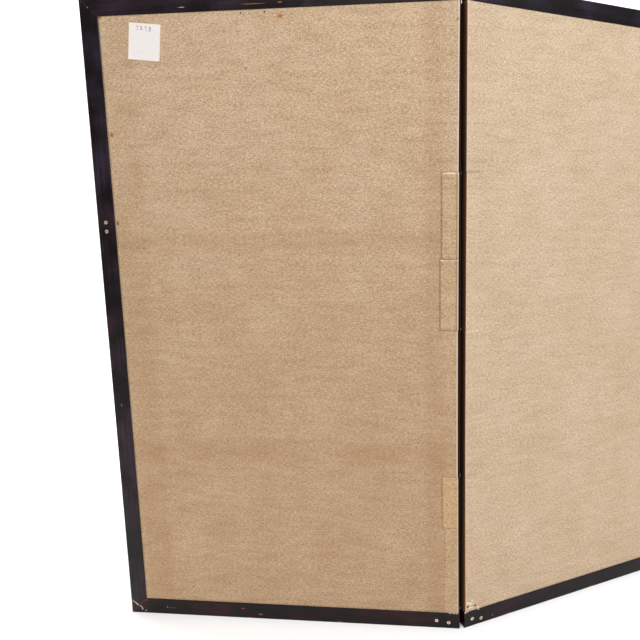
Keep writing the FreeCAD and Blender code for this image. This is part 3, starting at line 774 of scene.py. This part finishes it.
def ribbon(path, thick):
    """A closed outline round a path seen from above, with the distance along it as the flat place."""
    left, right, run = [], [], 0.0
    for k, point in enumerate(path):
        before, after = Vector(path[max(0, k - 1)]), Vector(path[min(len(path) - 1, k + 1)])
        way = (after - before).normalized()
        across = Vector((-way.y, way.x)) * thick / 2
        run += (Vector(point) - Vector(path[k - 1])).length if k else 0.0
        left.append((point[0] + across.x, point[1] + across.y, run))
        right.append((point[0] - across.x, point[1] - across.y, run))
    return right + left[::-1], run


def eased(a, corner, b, radius, steps=6):
    """A path that turns smoothly near a corner between two straight runs."""
    a, corner, b = Vector(a), Vector(corner), Vector(b)
    start = corner + (a - corner).normalized() * radius
    end = corner + (b - corner).normalized() * radius
    return [tuple(start.lerp(corner, t).lerp(corner.lerp(end, t), t))
            for t in (k / steps for k in range(steps + 1))]


def on_plan(side, point):
    """A point of the flat panel seen from above, at its place in the row frame."""
    placed = panel_place(side) @ Vector((*point, 0))
    return (placed.x, placed.y)


def strip_piece(name, path, levels, material, uneven=0.0, thick=strip_thick):
    """A length of hinge cloth that follows a path of the row frame, seen from above."""
    outline, run = ribbon(path, thick)
    points, flat, faces = swept(outline, levels)
    if uneven:
        points = [(x, y, z + uneven * noise.noise((u * 90, z * 3, 1.7)))
                  for (x, y, z), (u, v) in zip(points, flat)]
    return sheet_piece(name, points, flat, faces, material, outwards=True), run


web_cloth, add, shader = new_finish("dyed silk of the hinge webs", roughness=0.9, specular_ior_level=0.06)
flat = add("UVMap")
rep = add("TexNoise", add("Mapping", Vector=flat, Scale=(250, 1200, 1)), 1.0, Detail=3.0)
wire(shader, Base_Color=add("Mix", add("MapRange", rep, 0.35, 0.75), web_brown, "#44250f"),
     Normal=add("Bump", Height=rep, Strength=0.4, Distance=0.0003))

# The mends' turned ends, and their backs just beside the fold edge, are painted black as shade.
turned_in = {"shade": 0.18, "fold_at": 0.0042, "bow": 0.0028, "turned": painted_shade_black}
# Pale marks: on the first, a torn bit and a painted highlight along its top edge; on the mended one, a
# painted highlight along its top edge.
first_flap = hemp("hemp of the hinge, first panel", tint=(0.99, 0.98, 0.95), creased=0.4, **turned_in,
                  pale=((43, 911.6, 3.2, 1.4), (24, 912.3, 15, 0.3)))
mended_flap = hemp("hemp of the hinge, mended lighter", tint=(0.98, 0.97, 0.94), creased=0.4,
                   pale=((24, 1102.2, 18, 1.4),), **turned_in)
yellow_flap = hemp("hemp of the hinge, mended yellower", tint=(1.056, 1.034, 0.946), painted_highlight_share=0.4,
                   **turned_in)
low_flap = hemp("hemp of the hinge, lowest strip", tint=(1.027, 1.017, 0.998), painted_highlight_share=0.4, **turned_in)
second_flap = hemp("hemp of the hinge, second panel", shade=0.035, tint=(1.01, 1.07, 1.15),
                   contrast=0.76, fold_at=0.0137, bow=-0.0012, painted_highlight_share=0.2)

# Over the first panel's back: each mended strip is two lengths of cloth, one above the other.
for number, material in enumerate((mended_flap, first_flap, yellow_flap, low_flap)):
    low, high, width, dirty = mends[number]
    bend = eased((-0.0010, 0.0100), (-0.0007, 0.0118), (0.008, flap_face), 0.0009)
    path = [(-0.0010, 0.0098), *bend, (0.003, 0.0115), (0.008, flap_face), (0.02, flap_face),
            (width - 0.003, flap_face + 0.0006 * dirty), (width, flap_face + 0.001 * dirty)]
    flap, run = strip_piece(f"panel_1_back_flap_{number}", [on_plan(1, p) for p in path],
                            strip_levels(low, high), material, 0.0012,
                            strip_thick if dirty else thin_strip)
    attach(flap, "panel_1")
    if number == 0:
        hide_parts("panel_1_back_flaps")

for index in range(4):
    high = strip_top - index * strip_pitch - 0.0001
    low = high - strip_pitch + 0.0002
    levels = strip_levels(low, high)
    # A strip's front end: over the brocade of one panel, and half way into the fold.
    owner, across, webs = (("panel_1", 1, "strip_webs_a"), ("panel_2", -1, "strip_webs_b"))[index % 2]
    front = [on_plan(across, p) for p in ((front_flap_width, -flap_face), (0.012, -flap_face),
                                          (0.0065, -flap_face - 0.0001), (0.003, -0.0117))]
    deep = on_plan(-across, (web_place, 0.0))
    turn = eased(front[-1], on_plan(across, fold_front), deep, turn_start)
    path = [*front, *turn, deep]
    if index % 2:
        path.append(on_plan(-across, (web_place, 0.0100)))
    flap, run = strip_piece(f"strip_{index}_front", path, levels, web_cloth)
    if index < 2:
        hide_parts(f"{owner}_front_flaps", webs)
    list(turn[0])
    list(turn[-1])
    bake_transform(flap)
    if index % 2 == 0:
        # The same strip's other end: out of the fold and over the second panel's back cloth.
        out = [on_plan(-1, (x, flap_face + proud)) for x, proud in (
            (0.003, 0.00035), (0.008, -0.0001), (0.02, -0.0002), (0.034, -0.0003), (0.036, -0.0003))]
        turn = eased(deep, on_plan(-1, (web_place, 0.0121)), out[0], turn_start)
        back, run = strip_piece(f"strip_{index}_back", [deep, *turn, *out], levels, second_flap,
                                thick=thin_strip)
        if index == 0:
            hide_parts("panel_2_back_flaps")
        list(turn[0])
        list(turn[-1])
        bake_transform(back)

# The lowest strip's web runs on down between the rails' square ends, nearly to the floor, and just
# round the fold line at the front. Its dark cloth stands in for the shade in the gap between the rails.
down = [on_plan(1, (web_place, y)) for y in (-0.0123, -0.0115, -0.006, 0.0, 0.006, 0.0110)]
foot, run = strip_piece("strip_3_foot", [on_plan(-1, (-0.0004, -0.0123)), *down],
                        strip_levels(0.0004, 0.0412), web_cloth)
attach(foot, "strip_webs_b")

# The frame: rails and outer stiles of straight-grained wood under brushed black-brown lacquer, mitred
# at the outer corners and square at the fold. Its brush lines run along each bar. The lacquer has
# worn through to red-brown wood along the arrises and the mitres, and is chipped white at one foot.
lacquer_black = "#100a0b"
lacquer_brown = "#431616"
lacquer_plum = "#382632"
painted_sheen_blue = "#262b3b"             # painted bluish sheen, high up
lacquer_dim = "#351425"
worn_wood = "#8f5433"
chip_pale = "#cfc4b8"
panel_width, panel_height = 0.850, 1.500
bar_width, bar_height = 0.042, 0.041
inner_edge = panel_width - bar_width
inner_top = panel_height - bar_height


def lacquer(name, side, upright, glow, worn=(), chips=()):
    """Brushed lacquer on one panel's upright or level bars, with its worn and chipped places.
    The glow is the colour that shows through where the brush left the lacquer thin. High up, a painted
    bluish sheen takes its place."""
    material, add, shader = new_finish(name, coat_weight=0.06, coat_roughness=0.16,
                                       specular_ior_level=0.18)
    place = panel_coordinates(add, side)
    parts = add("SeparateXYZ", place).outputs
    flat = add("CombineXYZ", parts[0], parts[2])
    along = (500, 500, 5) if upright else (5, 500, 500)
    brush = add("TexNoise", add("Mapping", Vector=place, Scale=along), 1.0, Detail=4.0, Roughness=0.6)
    bright = add("Math multiply", brush, add("TexNoise", place, 14.0, Detail=3.0))
    bright = add("MapRange", bright, 0.2, 0.38)
    bright = add("Math multiply", bright, add("MapRange", parts[2], 0.0, 0.35, 0.5))
    # Higher up, the glow gives way to a painted sheen.
    thin = add("Mix", add("MapRange", parts[2], 0.9, 1.46, To_Max=0.65), glow, painted_sheen_blue)
    tone = add("Mix", bright, lacquer_black, thin)

    specks = add("TexNoise", place, 260.0, Detail=5.0, Roughness=0.7)
    mask = None
    # How near an arris is: the outer ones and the inner ones of the back and front faces.
    outer = add("MapRange", add("Math absolute", parts[1]), 0.0098, 0.0118)
    axis, arrises = parts[2], (0.0, bar_height, inner_top, panel_height)
    if upright:
        axis, arrises = parts[0], (panel_width, inner_edge)
    for arris in arrises:
        near = add("MapRange", add("Math absolute", add("Math subtract", axis, arris)), 0.0025, 0.0)
        near = add("Math multiply", near, outer)
        mask = near if mask is None else add("Math maximum", mask, near)
    mask = add("Math multiply", mask, add("MapRange", specks, 0.60, 0.70, To_Max=0.7))
    # The mitres: lines from the inner corner to the outer one, at the foot and at the top.
    across = add("MapRange", parts[0], inner_edge, panel_width, clamp=False)
    for low, high, opened in ((bar_height, 0.0, 0.4), (inner_top, panel_height, 0.15)):
        gap = add("Math subtract", across, add("MapRange", parts[2], low, high, clamp=False))
        gap = add("Math multiply_add", specks, 0.05, add("Math absolute", gap))
        line = add("MapRange", gap, 0.056, 0.04, To_Max=opened)
        line = add("Math multiply", line, add("Math greater_than", parts[0], inner_edge - 0.0005))
        mask = add("Math maximum", mask, line)
    if worn:
        mask = add("Math maximum", mask, spots(add, flat, worn, 0.6, 500.0))
    tone = add("Mix", mask, tone, worn_wood)
    if chips:
        behind = add("Math greater_than", parts[1], 0.0)
        white = add("Math multiply", spots(add, flat, chips, 0.6, 600.0), behind)
        tone = add("Mix", white, tone, chip_pale)
        mask = add("Math maximum", mask, white)
    gloss = add("MapRange", brush, 0.3, 0.7, 0.30, 0.50)
    wire(shader, Base_Color=tone, Roughness=add("Math multiply_add", mask, 0.4, gloss),
         Normal=add("Bump", Height=add("Math multiply_add", mask, -1.5, brush), Strength=0.35,
                    Distance=0.0003))
    return material


# Worn and chipped places: across and up the panel, half width and half height, in mm.
level_wear = ((740, 17.6, 13, 0.8), (551, 26, 5, 1.5), (505, 12, 7, 2.2),
              (534, 1, 8, 2.2), (300, 1.5, 12, 2), (450, 1470, 30, 1.2),
              (390, 1471, 6, 1.8), (807.5, 36.5, 2.2, 1.6))
foot_chips = ((845.5, 33, 1.4, 1.4), (843, 31, 1.6, 1.5),
              (840, 28.5, 2, 1.8), (837, 26, 2.4, 2),
              (833.5, 23, 2.6, 2.4), (827.5, 19.8, 1.6, 1.4),
              (824.5, 17.8, 1.8, 1.5), (822.2, 15, 1.8, 2.2),
              (821, 11, 1.7, 2.6), (811.8, 6.5, 1.8, 2.2),
              (753.3, 19.5, 1.4, 1.4), (612, 1469.5, 8, 0.8),
              (829.5, 1478, 1.2, 1.2))
stile_wear = ((849.2, 30, 2, 20), (848.8, 700, 1.4, 30), (849, 1200, 1.4, 50),
              (848.8, 350, 1.4, 20), (830, 560, 1.6, 4))
far_wear = ((130, 1.5, 20, 2), (400, 2, 10, 2.2), (620, 20, 6, 2))
far_chips = ((38.9, 40, 3, 1.4), (80, 11.5, 1.2, 1.2))
lacquers = (("first", (lacquer_brown, level_wear, foot_chips), (lacquer_plum, stile_wear, foot_chips)),
            ("second", (lacquer_dim, far_wear, far_chips), (lacquer_dim, stile_wear)))
for (panel, side), (which, lying, standing) in zip(sides.items(), lacquers):
    level = lacquer(f"brushed lacquer, {which} panel, level", side, False, *lying)
    upright = lacquer(f"brushed lacquer, {which} panel, upright", side, True, *standing)
    give(f"{panel}_top_rail", level)
    give(f"{panel}_bottom_rail", level)
    give(f"{panel}_outer_stile", upright)

# The screws: slotted brass, countersunk through the frame into the tenons. Age has turned the brass
# pale and a little pink at the rims, with dirt round the slots and in the countersinks.


def brass(name, side, heads):
    """Old brass, dark round the middle of each head (across and up on the flat panel)."""
    material, add, shader = new_finish(name, metallic=0.8)
    parts = add("SeparateXYZ", panel_coordinates(add, side)).outputs
    flat = add("CombineXYZ", parts[0], parts[2])
    dirt = add("TexNoise", flat, 700.0, Detail=4.0)
    dirty = add("MapRange", dirt, 0.5, 0.68)
    sunk = spots(add, flat, [(across, up, 2.1, 1.6) for across, up in heads], 0.4, 500.0)
    tone = add("Mix", sunk, add("Mix", dirty, "#ffe0c6", "#a87a5c"), "#32190f")
    wire(shader, Base_Color=tone, Roughness=add("MapRange", dirt, To_Min=0.3, To_Max=0.65),
         Normal=add("Bump", Height=dirt, Strength=0.3, Distance=0.0002))
    return material


heads = {"panel_1": ((25.8, 15.1), (55.8, 19.2), (830, 1004.4), (830, 983.4)),
         "panel_2": ((21, 18.9), (46.9, 13.4))}
first_brass = brass("old slotted brass, first panel", 1, heads["panel_1"])
give("panel_1_rail_screws", first_brass)
give("panel_1_stile_screws", first_brass)
give("panel_2_rail_screws", brass("old slotted brass, second panel", -1, heads["panel_2"]))

# The label: a small piece of white paper pasted a little askew near the top, gone cream at its rim.
# It has lifted a little at its lower corners, and bears a short number in faded ink.
label_middle = (0.7034, 1.4010)
label_half = (0.0365, 0.0390)
label_turn = math.radians(-6.3)      # its top leans towards the fold
label_white = "#f1ece8"
label_aged = "#f8ead6"
label_ink = "#4b3d41"

label_paper, add, shader = new_finish("pasted paper label", roughness=0.8)
flat = add("UVMap")
fine = add("TexNoise", flat, 500.0, Detail=4.0)
patchy = add("TexNoise", flat, 45.0, Detail=3.0)
rim = add("VectorMath multiply", flat, (1 / label_half[0], 1 / label_half[1], 0))
rim = add("VectorMath absolute", rim)
rim = add("SeparateXYZ", rim).outputs
rim = add("Math multiply_add", patchy, 0.25, add("Math maximum", rim[0], rim[1]))
tone = add("Mix", add("MapRange", rim, 1.04, 1.12), label_white, label_aged)
freckled = spots(add, flat, ((12, -22, 3, 2), (-20, 6, 2, 3)), 0.6, 500.0)
tone = add("Mix", freckled, tone, "#ece2d2")
strokes = (((19, 33), (15, 32), (18, 24)), ((10, 32), (6, 31), (10, 26), (5, 26)),
           ((-1, 31), (-3, 33), (-4, 24)), ((-10, 32), (-14, 30), (-11, 28), (-14, 25), (-10, 23)))
dots = [Vector(start).lerp(Vector(end), t) for stroke in strokes for start, end in zip(stroke, stroke[1:])
        for t in (0.0, 0.33, 0.67, 1.0)]
inked = spots(add, flat, [(a, b, 1.1, 1.1) for a, b in dots], 0.3, 700.0)
wire(shader, Base_Color=add("Mix", add("Math multiply", inked, 0.7), tone, label_ink),
     Normal=add("Bump", Height=fine, Strength=0.15, Distance=0.0002))


def on_label(a, b, lift):
    """A point of the label, from its own middle, on the flat panel."""
    x = label_middle[0] + a * math.cos(label_turn) + b * math.sin(label_turn)
    z = label_middle[1] - a * math.sin(label_turn) + b * math.cos(label_turn)
    return (x, back_face + lift, z)


points, flat_places, faces = [], [], []
cells = 12
row = cells + 1
for thick in (0.00032, 0.00006):
    for j in range(row):
        for i in range(row):
            a = (2 * i / cells - 1) * label_half[0]
            b = (2 * j / cells - 1) * label_half[1]
            curl = 0.0009 * max(0.0, (abs(a) / label_half[0]) * (-b / label_half[1]) - 0.55) ** 2 / 0.2
            ripple = 0.00016 * (noise.noise((a * 45, b * 45, 4.2)) + 0.6)
            points.append(on_label(a, b, thick + curl + ripple))
            flat_places.append((a, b))
size = row ** 2
for j in range(cells):
    for i in range(cells):
        k = j * row + i
        face = (k, k + 1, k + row + 1, k + row)
        faces.append(face[::-1])
        faces.append(tuple(v + size for v in face))
border = ([(k, k + 1) for k in range(cells)]
          + [(k * row + cells, (k + 1) * row + cells) for k in range(cells)]
          + [(cells * row + k + 1, cells * row + k) for k in range(cells)]
          + [((k + 1) * row, k * row) for k in range(cells)])
for a, b in border:
    faces.append((a, b, b + size, a + size))
label = panel_piece("panel_1_label_paper", 1, points, flat_places, faces, label_paper, smooth=False,
                    outwards=True)
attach(label, "panel_1")
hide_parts("panel_1_paper_label")

# The studio: a white floor that curves up into a backdrop, large soft lights high at the right and
# round about, and a camera where the photographer stood, behind the screen.
floor_paint, add, shader = new_finish("white studio floor", roughness=0.9, base_color=linear("#f4f4f2"))
speck = add("TexNoise", add("TexCoord").outputs["Object"], 3.0)
wire(shader, Base_Color=add("Mix", speck, "#fbfbfa", "#fefefe"))
floor_end, bend = -3.2, 1.2          # where the floor starts to curve, and the curve's radius
curve = [math.pi / 2 * k / 12 for k in range(1, 13)]
sweep = [(6.0, 0.0), (floor_end, 0.0),
         *((floor_end - bend * math.sin(t), bend - bend * math.cos(t)) for t in curve), (-4.4, 7.0)]
floor_mesh = bpy.data.meshes.new("studio_floor")
floor_mesh.from_pydata([(x, y, z) for y, z in sweep for x in (-9.0, 9.0)], [],
                       [(k, k + 1, k + 3, k + 2) for k in range(0, 2 * len(sweep) - 2, 2)])
floor_mesh.materials.append(floor_paint)
floor_mesh.shade_smooth()
into_scene("studio_floor", floor_mesh)

world = bpy.data.worlds.new("studio air")
world.use_nodes = True
world.node_tree.nodes["Background"].inputs[0].default_value = linear("#ffffff")
world.node_tree.nodes["Background"].inputs[1].default_value = 0.22
bpy.context.scene.world = world

# Each light: its place, the point it looks at, its size, power and colour.
for name, place, aim, size, power, colour in (
        ("high_right_light", (-2.2, 2.2, 4.2), (0.0, 0.0, 0.8), 1.8, 108, "#f2f7ff"),
        ("middle_light", (1.1, 3.8, 2.5), (0.1, 0.0, 0.8), 2.0, 34, "#fff6ee"),
        ("overhead_light", (0.0, 0.7, 4.2), (0.0, 0.7, 0.0), 1.4, 85, "#ffffff"),
        ("front_light", (0.6, -3.0, 2.6), (0.0, 0.0, 0.8), 2.2, 34, "#ffffff"),
        ("backdrop_light_left", (2.4, -2.0, 4.4), (1.6, -4.4, 1.6), 2.6, 130, "#ffffff"),
        ("backdrop_light_right", (-2.4, -2.0, 4.4), (-1.6, -4.4, 1.6), 2.6, 130, "#ffffff")):
    lamp = bpy.data.lights.new(name, "AREA")
    lamp.size = size
    lamp.energy = power
    lamp.color = linear(colour)[:3]
    light = into_scene(name, lamp)
    light.location = place
    light.rotation_euler = (Vector(aim) - Vector(place)).to_track_quat("-Z", "Y").to_euler()

# The camera: its place, tilt and lens come from the photograph's own perspective.
pitch, roll, yaw = 0.1566, -0.0117, 0.0964
stand = (0.3598, 1.4544, 0.9951)
photo_width, focus = 640, 609.4      # in pixels, as are the next two
across_middle, down_middle = 404.8, 319.3
turn = Matrix.Rotation(roll, 3, "Z") @ Matrix.Rotation(pitch, 3, "X") @ Matrix.Rotation(yaw, 3, "Y")
basis = Matrix(((-math.cos(half_angle), math.sin(half_angle), 0), (0, 0, -1),
                (-math.sin(half_angle), -math.cos(half_angle), 0)))
look = turn @ basis                  # rows: right, down and ahead, in the row frame
camera_data = bpy.data.cameras.new("camera")
camera_data.sensor_width = 36.0
camera_data.lens = focus / photo_width * camera_data.sensor_width
camera_data.shift_x = -(across_middle - photo_width / 2) / photo_width
camera_data.shift_y = (down_middle - photo_width / 2) / photo_width
camera_data.clip_start = 0.05
camera = into_scene("camera", camera_data)
facing = Matrix((look[0], -look[1], -look[2])).transposed().to_4x4()
camera.matrix_world = Matrix.Translation(stand) @ facing
bpy.context.scene.camera = camera
bpy.context.scene.view_settings.view_transform = "Standard"
